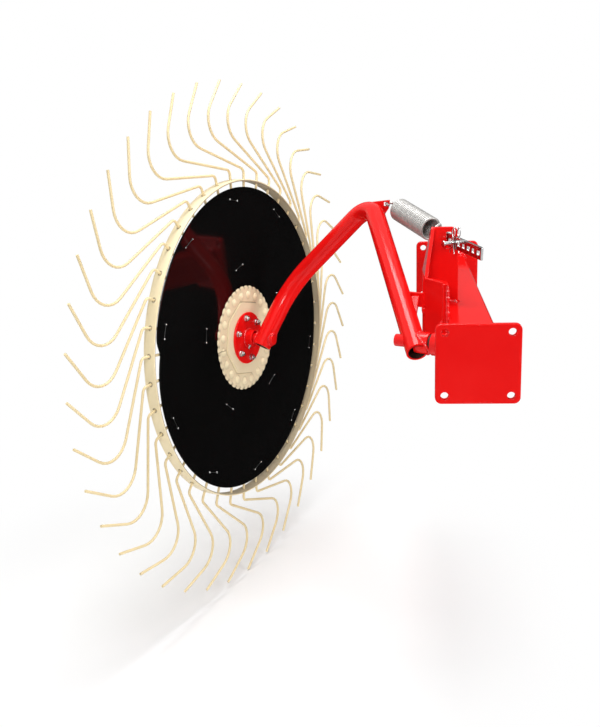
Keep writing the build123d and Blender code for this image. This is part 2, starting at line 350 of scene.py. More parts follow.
def lathe(place: Place, profile: Sequence[Pair], sides: int, closed: bool = False) -> Surface:
    """Turns a profile about a place's z axis: P(i, a) = (r(i) cos a, r(i) sin a, z(i)).

    Args:
        place: local frame of the axis.
        profile: rows of radius and height.
        sides: sides of the turn.
        closed: whether the profile closes on itself, as on a ring.

    Returns:
        A solid of revolution in the row frame.
    """
    rows = np.asarray(profile, float)
    return loft(place.out(round_points(rows[:, :1], circle(sides), rows[:, 1:])), closed)


def bar_profile(radius: float, low: float, high: float, edge: float) -> list[Pair]:
    """Profile of a round bar with broken edges, from its low end to its high end.

    Args:
        radius: the bar's radius.
        low: lower end.
        high: upper end.
        edge: size of the broken edges.

    Returns:
        Rows of radius and height.
    """
    steps = ((edge, 0.0), (0.3 * edge, 0.3 * edge), (0.0, edge))
    lower = [(radius - inset, low + rise) for inset, rise in steps]
    return lower + [(radius - inset, high - rise) for inset, rise in steps[::-1]]


def ring_profile(inner: float, outer: float, low: float, high: float, edge: float) -> list[Pair]:
    """Closed profile of a ring of rectangular section with rounded edges.

    Args:
        inner: inner radius.
        outer: outer radius.
        low: lower face.
        high: upper face.
        edge: radius of the four edges.

    Returns:
        Rows of radius and height.
    """
    corners = (
        (outer - edge, low + edge, -RIGHT_ANGLE),
        (outer - edge, high - edge, 0.0),
        (inner + edge, high - edge, RIGHT_ANGLE),
        (inner + edge, low + edge, math.pi),
    )
    return [
        (radius + edge * math.cos(start + turn), height + edge * math.sin(start + turn))
        for radius, height, start in corners
        for turn in np.linspace(0, RIGHT_ANGLE, 4)
    ]


def bent_path(points: Sequence[Sequence[float]], radii: Sequence[float], step: float) -> np.ndarray:
    """Straight runs joined by tangent arcs, sampled about every step.

    Each arc is first + side R (1 - cos t) + into R sin t, with t from 0 to the corner's turn.

    Args:
        points: corners of the route.
        radii: bend radius of each inner corner.
        step: spacing of the samples.

    Returns:
        Points of shape (n, 3).
    """
    corner = np.asarray(points, float)
    pieces: list[np.ndarray] = []
    start = corner[0]
    for number, radius in enumerate(radii, 1):
        into = unit(corner[number] - corner[number - 1])
        out = unit(corner[number + 1] - corner[number])
        turn = math.acos(float(np.clip(into @ out, -1, 1)))
        first = corner[number] - into * radius * math.tan(turn / 2)
        side = unit(out - into * (into @ out))
        count = max(2, round(np.linalg.norm(first - start) / step))
        pieces.append(start + np.linspace(0, 1, count, endpoint=False)[:, None] * (first - start))
        bend = np.linspace(0, turn, max(8, round(radius * turn / step)), endpoint=False)[:, None]
        pieces.append(first + side * radius * (1 - np.cos(bend)) + into * radius * np.sin(bend))
        start = first + side * radius * (1 - math.cos(turn)) + into * radius * math.sin(turn)
    count = max(2, round(np.linalg.norm(corner[-1] - start) / step))
    pieces.append(start + np.linspace(0, 1, count)[:, None] * (corner[-1] - start))
    return np.concatenate(pieces)


def run_length(path: np.ndarray) -> np.ndarray:
    """Length of a path up to each of its points."""
    return np.concatenate([[0.0], np.cumsum(np.linalg.norm(np.diff(path, axis=0), axis=1))])


def evened(path: np.ndarray, count: int) -> tuple[np.ndarray, np.ndarray]:
    """Samples a path at even steps of its length, by straight interpolation.

    Args:
        path: points of shape (n, 3).
        count: number of samples.

    Returns:
        The samples, and the length up to each.
    """
    length = run_length(path)
    along = np.linspace(0, length[-1], count)
    return np.stack([np.interp(along, length, path[:, axis]) for axis in range(3)], 1), along


def eased_half(thick: float, edge: float, inset: np.ndarray) -> np.ndarray:
    """Half thickness of a plate with rounded edges: T/2 - e + sqrt(e^2 - (e - D)^2), the inset D up to e."""
    depth = np.clip(inset, 0, edge)
    return thick / 2 - edge + np.sqrt(np.maximum(edge**2 - (edge - depth) ** 2, 0))


def pierced_faces(rays: int, rows: int, on_edge: np.ndarray) -> np.ndarray:
    """Quads of a plate cell with a hole: a front and a back grid of rays, the hole's wall and the edge's.

    Args:
        rays: rays round the hole.
        rows: points on each ray, from the hole outwards.
        on_edge: mask of the rays that end on the plate's own edge.

    Returns:
        Index rows, the back's points numbered after the front's.
    """
    front = grid_faces(rays, rows, True, False)
    ray = np.arange(rays)
    after = (ray + 1) % rays
    near, end, behind = ray * rows, ray * rows + rows - 1, rays * rows
    hole = np.stack([near + behind, near[after] + behind, near[after], near], 1)
    rim = np.stack([end[after] + behind, end + behind, end, end[after]], 1)[on_edge & on_edge[after]]
    return np.concatenate([front, front[:, ::-1] + behind, hole, rim])


RIPPLES = ((0.08, 7.0, 0.0), (0.12, 17.0, 1.0), (0.14, 41.0, 2.0))
BEAD_STEP = 1.6
BEAD_SIDES = 8


def weld(path: np.ndarray, size: float, side: np.ndarray, closed: bool = False) -> Surface:
    """A weld bead: a tube of radius size (1 + sum of share cos(2 pi s / wave + shift)) over the RIPPLES.

    Args:
        path: coarse route of the bead.
        size: bead radius.
        side: a direction that the path never runs along.
        closed: whether the bead meets itself, else it thins at its ends.

    Returns:
        The bead as a tube.
    """
    route = np.concatenate([path, path[:1]]) if closed else path
    fine, along = evened(route, max(8, int(run_length(route)[-1] / BEAD_STEP)))
    ripple = 1 + sum(share * np.cos(TURN * along / wave + shift) for share, wave, shift in RIPPLES)
    to_end = np.minimum(along, along[-1] - along)
    taper = 1.0 if closed else np.clip(to_end / size, 0.25, 1) ** 0.5
    return tube(fine, size * ripple * taper, BEAD_SIDES, side)


WHITE = (1.0, 1.0, 1.0, 1.0)
# Painted shade: the dark brown that each mesh's share of painted shade mixes into its finish's colour, in
# holes, grooves and gaps.
PAINTED_SHADE_TONE = (0.085, 0.052, 0.026, 1.0)
NOISE_SPAN = (0.3, 0.7)
BUMP_DISTANCE = 0.0006


@dataclass(frozen=True)
class Nodes:
    """A small helper that adds shader nodes to one node tree."""

    tree: bpy.types.NodeTree

    @classmethod
    def of(cls, owner: bpy.types.Material | bpy.types.World) -> "Nodes":
        """Empties the node tree of a material or world.

        Args:
            owner: the material or world.

        Returns:
            The helper for its tree.
        """
        owner.use_nodes = True
        owner.node_tree.nodes.clear()
        return cls(owner.node_tree)

    def add(
        self, kind: str, inputs: dict[int | str, object], output: int | str = 0, **settings: object
    ) -> Socket:
        """Adds a shader node and sets or links its inputs.

        Args:
            kind: the node's type, without ShaderNode.
            inputs: a value or a socket for each input, by name or number.
            output: the output that is wanted, by name or number.
            settings: the node's own settings.

        Returns:
            The wanted output.
        """
        node = self.tree.nodes.new("ShaderNode" + kind)
        for name, value in settings.items():
            setattr(node, name, value)
        for key, value in inputs.items():
            if isinstance(value, Socket):
                self.tree.links.new(value, node.inputs[key])
            else:
                node.inputs[key].default_value = value
        return node.outputs[output]

    def noise(self, where: Socket, scale: float, detail: float, rough: float) -> Socket:
        """Adds a noise over the given coordinates."""
        inputs = {"Vector": where, "Scale": scale, "Detail": detail, "Roughness": rough}
        return self.add("TexNoise", inputs, "Fac")

    def seen(self) -> Socket:
        """Adds a value that is one for camera rays and for reflections."""
        rays = self.add("LightPath", {}).node.outputs
        return self.add("Math", {0: rays["Is Camera Ray"], 1: rays["Is Glossy Ray"]}, operation="MAXIMUM")

    def end(self, shader: Socket, kind: str = "OutputMaterial") -> None:
        """Links a shader to a new output node."""
        self.tree.links.new(shader, self.tree.nodes.new("ShaderNode" + kind).inputs["Surface"])


@dataclass(frozen=True)
class Finish:
    """A surface finish: two close colours, a range of gloss and a fine bump."""

    name: str
    slot: Slot
    colour: Triple
    shade: Triple
    rough: Pair
    specular: float
    patch: float
    peel: float
    depth: float
    metal: float = 0.0
    grain: Grain = Grain.CLOUD

    def material(self) -> bpy.types.Material:
        """Makes the material on Object coordinates: patchy colour, painted shade, uneven gloss, fine bump.

        Returns:
            The material, one for each finish.
        """
        found = bpy.data.materials.get(self.name)
        if found:
            return found
        made = bpy.data.materials.new(self.name)
        nodes = Nodes.of(made)
        where = nodes.add("TexCoord", {}, "Object")
        if self.grain is Grain.SPANGLE:
            patch = nodes.add("TexVoronoi", {"Vector": where, "Scale": self.patch}, "Color")
        else:
            patch = nodes.noise(where, self.patch, 5.0, 0.6)
        tint = nodes.add("ValToRGB", {"Fac": patch}, "Color")
        elements = tint.node.color_ramp.elements
        for element, position, colour in zip(elements, NOISE_SPAN, (self.shade, self.colour)):
            element.position = position
            element.color = (*colour, 1.0)
        # Painted shade: a point attribute darkens the colour towards a dark brown in holes, grooves and gaps.
        seam = nodes.add("Attribute", {}, "Fac", attribute_name="seam")
        base = nodes.add("Mix", {0: seam, 6: tint, 7: PAINTED_SHADE_TONE}, 2, data_type="RGBA")
        smear = nodes.noise(where, self.patch * 2.3, 4.0, 0.55)
        spans = dict(zip(("From Min", "From Max", "To Min", "To Max"), NOISE_SPAN + self.rough))
        gloss = nodes.add("MapRange", {"Value": smear, **spans})
        fine = nodes.noise(where, self.peel, 3.0, 0.5)
        bump = nodes.add("Bump", {"Height": fine, "Strength": self.depth, "Distance": BUMP_DISTANCE})
        looks = {"Base Color": base, "Metallic": self.metal, "Roughness": gloss, "Normal": bump}
        nodes.end(nodes.add("BsdfPrincipled", {**looks, "Specular IOR Level": self.specular}))
        return made


RED = Finish(
    "signal_red_enamel", Slot.RED, (0.80, 0.008, 0.007), (0.74, 0.005, 0.005), (0.10, 0.17),
    specular=0.22, patch=5.0, peel=420.0, depth=0.05,
)
RED_WELD = Finish(
    "red_weld_bead", Slot.RED, (0.79, 0.010, 0.012), (0.70, 0.006, 0.009), (0.06, 0.14),
    specular=0.65, patch=40.0, peel=300.0, depth=0.10,
)
CREAM = Finish(
    "cream_enamel", Slot.CREAM, (0.88, 0.77, 0.52), (0.83, 0.70, 0.45), (0.30, 0.42),
    specular=0.30, patch=8.0, peel=160.0, depth=0.02,
)
# Painted shade: a darker copy of the cream enamel, for the shade on the thin fingers.
SHADED_CREAM_WIRE = Finish(
    "shaded_cream_wire", Slot.CREAM, (0.82, 0.68, 0.41), (0.74, 0.60, 0.34), (0.30, 0.42),
    specular=0.30, patch=8.0, peel=160.0, depth=0.02,
)
BLACK = Finish(
    "gloss_black_sheet", Slot.BLACK, (0.0040, 0.0038, 0.0038), (0.0030, 0.0030, 0.0030), (0.05, 0.09),
    specular=0.28, patch=6.0, peel=24.0, depth=0.02,
)
ZINC = Finish(
    "bright_zinc", Slot.ZINC, (0.72, 0.72, 0.71), (0.58, 0.59, 0.59), (0.16, 0.30),
    metal=1.0, specular=0.5, patch=260.0, peel=900.0, depth=0.06, grain=Grain.SPANGLE,
)
STRAP_ZINC = Finish(
    "rolled_zinc_strap", Slot.ZINC, (0.62, 0.62, 0.61), (0.50, 0.50, 0.50), (0.08, 0.16),
    metal=1.0, specular=0.5, patch=180.0, peel=500.0, depth=0.03, grain=Grain.SPANGLE,
)
SPRING_GREY = Finish(
    "galvanised_wire", Slot.ZINC, (0.47, 0.46, 0.44), (0.35, 0.34, 0.33), (0.34, 0.48),
    metal=0.55, specular=0.4, patch=60.0, peel=800.0, depth=0.12,
)
# Painted shade: a near-black copy in the red paint's slot, for the hollows inside the arm's ends and the
# pivot's gap.
HOLLOW_SHADE = Finish(
    "painted_hollow_shade", Slot.RED, (0.055, 0.026, 0.020), (0.022, 0.014, 0.012), (0.50, 0.70),
    metal=0.3, specular=0.3, patch=60.0, peel=700.0, depth=0.3,
)
TIE_WIRE = Finish(
    "tie_wire", Slot.ZINC, (0.05, 0.05, 0.05), (0.02, 0.02, 0.02), (0.30, 0.42),
    metal=0.6, specular=0.5, patch=200.0, peel=900.0, depth=0.05,
)


def set_out(name: str, data: bpy.types.ID) -> bpy.types.Object:
    """Makes an object of its data at the origin and links it to the scene.

    Args:
        name: the object's name.
        data: its mesh, lamp or camera data.

    Returns:
        The object.
    """
    made = bpy.data.objects.new(name, data)
    bpy.context.scene.collection.objects.link(made)
    return made


def smooth(mesh: bpy.types.Mesh, crease: float) -> None:
    """Shades a mesh smooth, apart from edges sharper than a crease in degrees."""
    mesh.polygons.foreach_set("use_smooth", np.ones(len(mesh.polygons), bool))
    mesh.set_sharp_from_angle(angle=math.radians(crease))


@dataclass
class Fitter:
    """Puts finished meshes into the scene and counts them."""

    count: int = 0
    seal_reach: float = 4e-6
    merge_reach: float = 2e-6
    plate_crease: float = 30.0
    bevel_from: float = 32.0

    def dress(
        self,
        name: str,
        surface: Surface,
        finish: Finish,
        body: Body | None,
        node: str = "",
        crease: float = 38.0,
        sealed: bool = False,
    ) -> bpy.types.Object:
        """Writes a surface's arrays into a mesh object at the origin and fits it.

        Args:
            name: the piece's name.
            surface: points in millimetres, faces and perhaps a share of painted shade.
            finish: its finish.
            body: the body it rides on, or None where it is blended later.
            node: the CAD node that it replaces, if any.
            crease: edges sharper than this many degrees stay sharp.
            sealed: whether points that neighbouring cells share are joined.

        Returns:
            The new object.
        """
        mesh = bpy.data.meshes.new(name)
        mesh.from_pydata((surface.points * MM).tolist(), [], surface.faces)
        smooth(mesh, crease)
        # Stores the share of painted shade at each point.
        if surface.seam is not None:
            shade_share = mesh.attributes.new("seam", "FLOAT", "POINT")
            shade_share.data.foreach_set("value", surface.seam.astype(np.float32))
        mesh.update()
        piece = set_out(name, mesh)
        if sealed:
            work = bmesh.new()
            work.from_mesh(mesh)
            bmesh.ops.remove_doubles(work, verts=work.verts, dist=self.seal_reach)
            work.to_mesh(mesh)
            work.free()
        return self.fit(piece, finish, body, node)

    def eased_copy(self, node: str, name: str, width: float, finish: Finish, body: Body) -> bpy.types.Object:
        """Copies a CAD plate, merges its loose triangles and rounds its edges with a bevel.

        Args:
            node: the CAD node.
            name: the piece's name.
            width: bevel width.
            finish: its finish.
            body: the body it rides on.

        Returns:
            The dressed plate.
        """
        mesh = bpy.data.meshes.new(name)
        work = bmesh.new()
        work.from_mesh(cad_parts[node].data)
        bmesh.ops.remove_doubles(work, verts=work.verts, dist=self.merge_reach)
        bmesh.ops.dissolve_limit(work, angle_limit=math.radians(1.0), verts=work.verts, edges=work.edges)
        work.to_mesh(mesh)
        work.free()
        smooth(mesh, self.plate_crease)
        piece = set_out(name, mesh)
        bevel = piece.modifiers.new("eased_edges", "BEVEL")
        bevel.width = width * MM
        bevel.segments = 3
        bevel.limit_method = "ANGLE"
        bevel.angle_limit = math.radians(self.bevel_from)
        bevel.harden_normals = False
        return self.fit(piece, finish, body, node)

    def fit(self, piece: bpy.types.Object, finish: Finish, body: Body | None, node: str) -> bpy.types.Object:
        """Gives a piece its finish's material and lets it ride on its body.

        Args:
            piece: the object.
            finish: its finish.
            body: the body it rides on, or None where it is blended later.
            node: the CAD node that it replaces, if any.

        Returns:
            The same object.
        """
        piece.data.materials.clear()
        piece.data.materials.append(finish.material())
        if body is not None:
            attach(piece, body.value)
        if node:
            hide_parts(node)
        self.count += 1
        LOG.info("%s: %d points, %s", piece.name, len(piece.data.vertices), finish.slot.value)
        return piece


@dataclass
class BeamSection:
    """The flanged beam with the spring tower, stop box, pivot pin and welds."""

    size: float = 100.0
    corner: float = 8.0
    length: float = 918.0
    flange_half: Pair = (90.0, 88.0)
    flange_thick: float = 12.0
    flange_corner: float = 14.0
    flange_edge: float = 2.2
    hole_at: Pair = (70.0, 70.0)
    hole_radius: float = 8.5
    hole_ease: float = 0.7
    pin_radius: float = 14.0
    pin_span: Pair = (-45.0, 95.0)
    boss_radius: float = 26.0
    boss_span: Pair = (44.0, 96.0)
    gap_ring: Triple = (21.0, 38.8, 43.8)
    tower_y: float = 345.0
    tower_half: float = 4.0
    bead_off: float = 1.5
    flange_bead: float = 3.6
    plate_bead: float = 4.6
    boss_bead: float = 3.4

    def section(self, grow: float, steps: int, place: float) -> np.ndarray:
        """The tube's outline in X and Z, a square whose corners are arcs, at a place along Y.

        Args:
            grow: how far the outline lies outside the tube.
            steps: points on each corner.
            place: Y of the outline.

        Returns:
            A closed loop of points.
        """
        half = self.size / 2 + grow
        angle = np.radians(np.arange(4)[:, None] * 90 + np.linspace(0, 90, steps))
        middle = (half - self.corner) * np.array(((1, 1), (-1, 1), (-1, -1), (1, -1)))[:, None]
        flat = middle + self.corner * np.stack([np.cos(angle), np.sin(angle)], -1)
        x, z = flat.reshape(-1, 2).T
        return np.stack([x, np.full_like(x, place), z], 1)

    def beam_skin(self) -> Surface:
        """The square tube: its outline carried along Y, 1 mm into each flange."""
        ends = (self.flange_thick - 1, self.length - self.flange_thick + 1)
        return loft(np.stack([self.section(0.0, 9, end) for end in ends]))

    def flange_quarter(self) -> tuple[np.ndarray, np.ndarray]:
        """One quarter of a flange's face as rays from its bolt hole.

        P(i, a) = hole + t(i, a) (cos a, sin a), with t from the hole's edge to the quarter's own outline, and
        a height from eased_half, where the inset is the distance to the plate's rounded outline.

        Returns:
            Grid of X, Z and height, shape (rays, rows, 3), and a mask of the rays that end on the outline.
        """
        at, size, round_off = np.array(self.hole_at), np.array(self.flange_half), self.flange_corner
        beyond = size - at
        sharp = np.arctan2([-at[1], -at[1], beyond[1]], [-at[0], beyond[0], -at[0]])
        angle = np.unique(np.round(np.concatenate([np.linspace(-math.pi, math.pi, 97)[:-1], sharp]), 9))
        way = np.stack([np.cos(angle), np.sin(angle)], 1)
        with np.errstate(divide="ignore"):
            reach = np.abs(np.where(way > 0, beyond, -at) / way).min(1)
        back = at - size + round_off
        along = way @ back
        root = along**2 - back @ back + round_off**2
        arc = -along + np.sqrt(np.maximum(root, 0))
        rounded = (at + arc[:, None] * way > size - round_off).all(1) & (root > 0)
        reach = np.where(rounded, arc, reach)[:, None]
        near = np.broadcast_to((0.0, self.hole_ease, 2.0), (len(angle), 3))
        far = np.array((2.0, 1.0, 0.6, 0.3, 0.12, 0.03, 0.0)) * self.flange_edge
        rows = np.concatenate([self.hole_radius + near, (self.hole_radius + reach) / 2, reach - far], 1)
        flat = at + rows[:, :, None] * way[:, None, :]
        past = np.abs(flat) - (size - round_off)
        inset = round_off - np.linalg.norm(np.maximum(past, 0), axis=-1) - np.minimum(past.max(-1), 0)
        height = eased_half(self.flange_thick, self.flange_edge, inset)
        height = height - np.maximum(0, self.hole_ease - (rows - self.hole_radius))
        return np.concatenate([flat, height[:, :, None]], -1), inset[:, -1] < 1e-6

    def flange_plate(self, middle: float) -> Surface:
        """A bolting flange: four mirrored quarters, front and back, with hole walls and a rounded outer edge.

        Args:
            middle: Y of the plate's mid plane.

        Returns:
            The plate, its quarters still to be sealed.
        """
        grid, on_edge = self.flange_quarter()
        faces = pierced_faces(*grid.shape[:2], on_edge)
        x, z, height = np.moveaxis(np.stack([grid, grid * (1, 1, -1)]), -1, 0)
        parts: list[Surface] = []
        for sign_x, sign_z in ((1, 1), (-1, 1), (-1, -1), (1, -1)):
            points = np.stack([sign_x * x, middle - height, sign_z * z], -1)
            parts.append(Surface(points.reshape(-1, 3), faces[:, :: sign_x * sign_z].tolist()))
        return Surface.joined(parts)

    def beads(self) -> Surface:
        """Weld beads: at both flanges, at the tower's foot and sides, at the stop box and round the boss.

        Returns:
            All beads in one.
        """
        off = self.bead_off
        ends = (self.flange_thick + off, self.length - self.flange_thick - off)
        parts = [weld(self.section(off, 6, end), self.flange_bead, Y_AXIS, closed=True) for end in ends]
        front, rear = self.tower_y - self.tower_half - off, self.tower_y + self.tower_half + off
        top, left = self.size / 2 + 1.0, -self.size / 2 - 1.0
        lines = (
            ((-48.0, front, top), (-17.0, front, top)),
            ((-48.0, rear, top), (-17.0, rear, top)),
            ((-13.5, front + 2, top), (-13.5, rear - 2, top)),
            ((left, rear, 40.0), (left, rear, -42.0)),
            ((left, 189.6, 126.0), (left, 189.6, -38.0)),
            ((left - 12.0, 205.0, -36.0), (left - 12.0, 205.0, 40.0)),
            ((left, 279.0, 51.0), (left, 305.0, 51.0)),
        )
        for start, stop in lines:
            side = (1.0, 0.3, 0.2) if start[0] == stop[0] else (0.1, 1.0, 0.2)
            parts.append(weld(np.array((start, stop)), self.plate_bead, np.array(side)))
        ring = PIVOT.out(round_points(self.boss_radius + 1.0, circle(48), 0.0))
        way = PIVOT.axes[2]
        ring = ring + ((left - ring[:, 0]) / way[0])[:, None] * way
        return Surface.joined([*parts, weld(ring, self.boss_bead, X_AXIS, closed=True)])

    def build(self, fitter: Fitter) -> None:
        """Builds and dresses every piece of the beam.

        Args:
            fitter: what puts the pieces into the scene.
        """
        fitter.dress("beam_skin", self.beam_skin(), RED, Body.BEAM, "beam_tube", 30)
        half = self.flange_thick / 2
        for node, middle in (("near_flange", half), ("far_flange", self.length - half)):
            plate = self.flange_plate(middle)
            fitter.dress(node + "_plate", plate, RED, Body.BEAM, node, 50, sealed=True)
        for node, width in (("spring_tower", 1.6), ("stop_bracket", 1.6), ("stop_pad", 1.4)):
            fitter.eased_copy(node, node + "_plate", width, RED, Body.BEAM)
        boss = lathe(PIVOT, bar_profile(self.boss_radius, *self.boss_span, 2.5), 64)
        fitter.dress("pivot_boss_turned", boss, RED, Body.BEAM, "pivot_boss")
        pin = lathe(PIVOT, bar_profile(self.pin_radius, *self.pin_span, 2.0), 64)
        fitter.dress("pivot_pin_turned", pin, RED, Body.BEAM, "pivot_pin")
        # A near-black ring in the gap between bush and boss: painted shade.
        ring = lathe(PIVOT, ring_profile(self.pin_radius - 1, *self.gap_ring, 0.4), 64, closed=True)
        fitter.dress("pivot_gap_ring", ring, HOLLOW_SHADE, Body.BEAM)
        fitter.dress("beam_welds", self.beads(), RED_WELD, Body.BEAM, crease=60)


@dataclass
class SpringSet:
    """The tension spring, its adjusting strap, the clevis pin and its split pins."""

    coil_radius: float = 26.5
    wire: float = 3.5
    pitch: float = 7.12
    coil_span: Pair = (-239.0, -80.0)
    close_reach: Pair = (-12.0, 6.0)
    lug_eye: float = -285.1
    strap_eye: float = -24.0
    eye_radius: float = 12.0
    wire_step: float = 5.2
    pin_at: float = 40.0
    pin_radius: float = 4.8
    pin_span: Pair = (-34.0, 20.0)
    pin_head: Pair = (7.6, 3.6)
    split_wire: float = 1.3
    split_eye: Triple = (5.2, 11.0, -25.0)
    split_leg: Triple = (1.1, 7.5, 38.0)
    split_top: float = -12.0
    split_drift: float = -2.0
    split_places: tuple[Pair, Pair] = ((-6.5, 1.5), (6.5, 4.0))

    def eye(self, centre: float, side: float) -> np.ndarray:
        """An end's eye in the pull frame: seven eighths of a ring (c + s R cos t, 0, R sin t)."""
        t = np.linspace(0, math.radians(315), 70)
        return centre * X_AXIS + self.eye_radius * np.stack([side * np.cos(t), 0 * t, np.sin(t)], 1)

    def closing(self, tip: np.ndarray, reach: float) -> np.ndarray:
        """The wire from a coil's end to the axis: tip + (reach - offset) (1 - cos t), t to a right angle."""
        bend = np.linspace(0, RIGHT_ANGLE, 40)[:, None]
        return tip + (reach * X_AXIS - tip * (0, 1, 1)) * (1 - np.cos(bend))

    def spring_path(self) -> np.ndarray:
        """The wire's route: an eye, a neck, the helix (p t, R cos(2 pi t), R sin(2 pi t)), a neck, an eye.

        Returns:
            Points in the row frame, the corners softened by a running mean.
        """
        low, high = self.coil_span
        turns = (high - low) / self.pitch
        t = np.linspace(0, turns, round(turns * 26))
        helix = np.roll(round_points(self.coil_radius, TURN * t, low + self.pitch * t), 1, axis=1)
        close_low = self.closing(helix[0], self.close_reach[0])
        close_high = self.closing(helix[-1], self.close_reach[1])
        low_eye, high_eye = self.eye(self.lug_eye, 1.0), self.eye(self.strap_eye, -1.0)
        neck = np.linspace(0.1, 0.9, 24)[:, None]
        neck_low = low_eye[0] + neck * (close_low[-1] - low_eye[0])
        neck_high = close_high[-1] + neck * (high_eye[0] - close_high[-1])
        route = np.concatenate(
            [low_eye[::-1], neck_low, close_low[::-1][1:], helix[1:-1], close_high[1:], neck_high, high_eye]
        )
        even, _ = evened(route, round(run_length(route)[-1] / self.wire_step))
        padded = np.concatenate([even[:1], even, even[-1:]])
        return PULL.out(0.25 * padded[:-2] + 0.5 * padded[1:-1] + 0.25 * padded[2:])

    def split_pin(self, along: float, lean: float) -> Surface:
        """A split pin in the clevis pin: a long eye above, two legs that spread with the square of the fall.

        Args:
            along: its place along the clevis pin.
            lean: how far the eye leans along the strap.

        Returns:
            The one bent wire as a tube, from leg tip over the eye to leg tip.
        """
        half, tall, middle = self.split_eye
        gap, spread, length = self.split_leg
        share = np.linspace(0, 1, 26)
        turn = np.linspace(-0.35 * math.pi, 1.35 * math.pi, 40)
        eye = np.stack([half * np.cos(turn) + lean, middle - tall * np.sin(turn), 0 * turn + along], 1)
        fall = self.split_top + length * share
        drift = self.split_drift * share
        right, left = (
            np.stack([side * (gap + spread * share**2) + drift, fall, along + side * 0.8 + 0 * share], 1)
            for side in (1.0, -1.0)
        )
        route = np.concatenate([right[::-1], eye, left]) + self.pin_at * X_AXIS
        return tube(STRAP.out(route), self.split_wire, 10, STRAP.axes[2])

    def build(self, fitter: Fitter) -> None:
        """Builds and dresses the spring, the strap and the pins.

        Args:
            fitter: what puts the pieces into the scene.
        """
        wire = tube(self.spring_path(), self.wire, 10, PULL.axes[0] + 0.35 * PULL.axes[1])
        coil = fitter.dress("tension_spring_wire", wire, SPRING_GREY, None, "tension_spring")
        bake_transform(coil)
        fitter.eased_copy("adjuster_strap", "adjuster_strap_flat", 0.7, STRAP_ZINC, Body.BEAM)
        place = STRAP.moved(self.pin_at * X_AXIS)
        (low, high), (head_radius, head_thick) = self.pin_span, self.pin_head
        head = lathe(place, bar_profile(head_radius, low, low + head_thick, 0.8), 40)
        bar = lathe(place, bar_profile(self.pin_radius, low + 3.0, high, 0.8), 40)
        fitter.dress("clevis_pin", Surface.joined([head, bar]), ZINC, Body.BEAM, "adjuster_pin")
        pins = Surface.joined(self.split_pin(*where) for where in self.split_places)
        fitter.dress("split_pins", pins, ZINC, Body.BEAM)


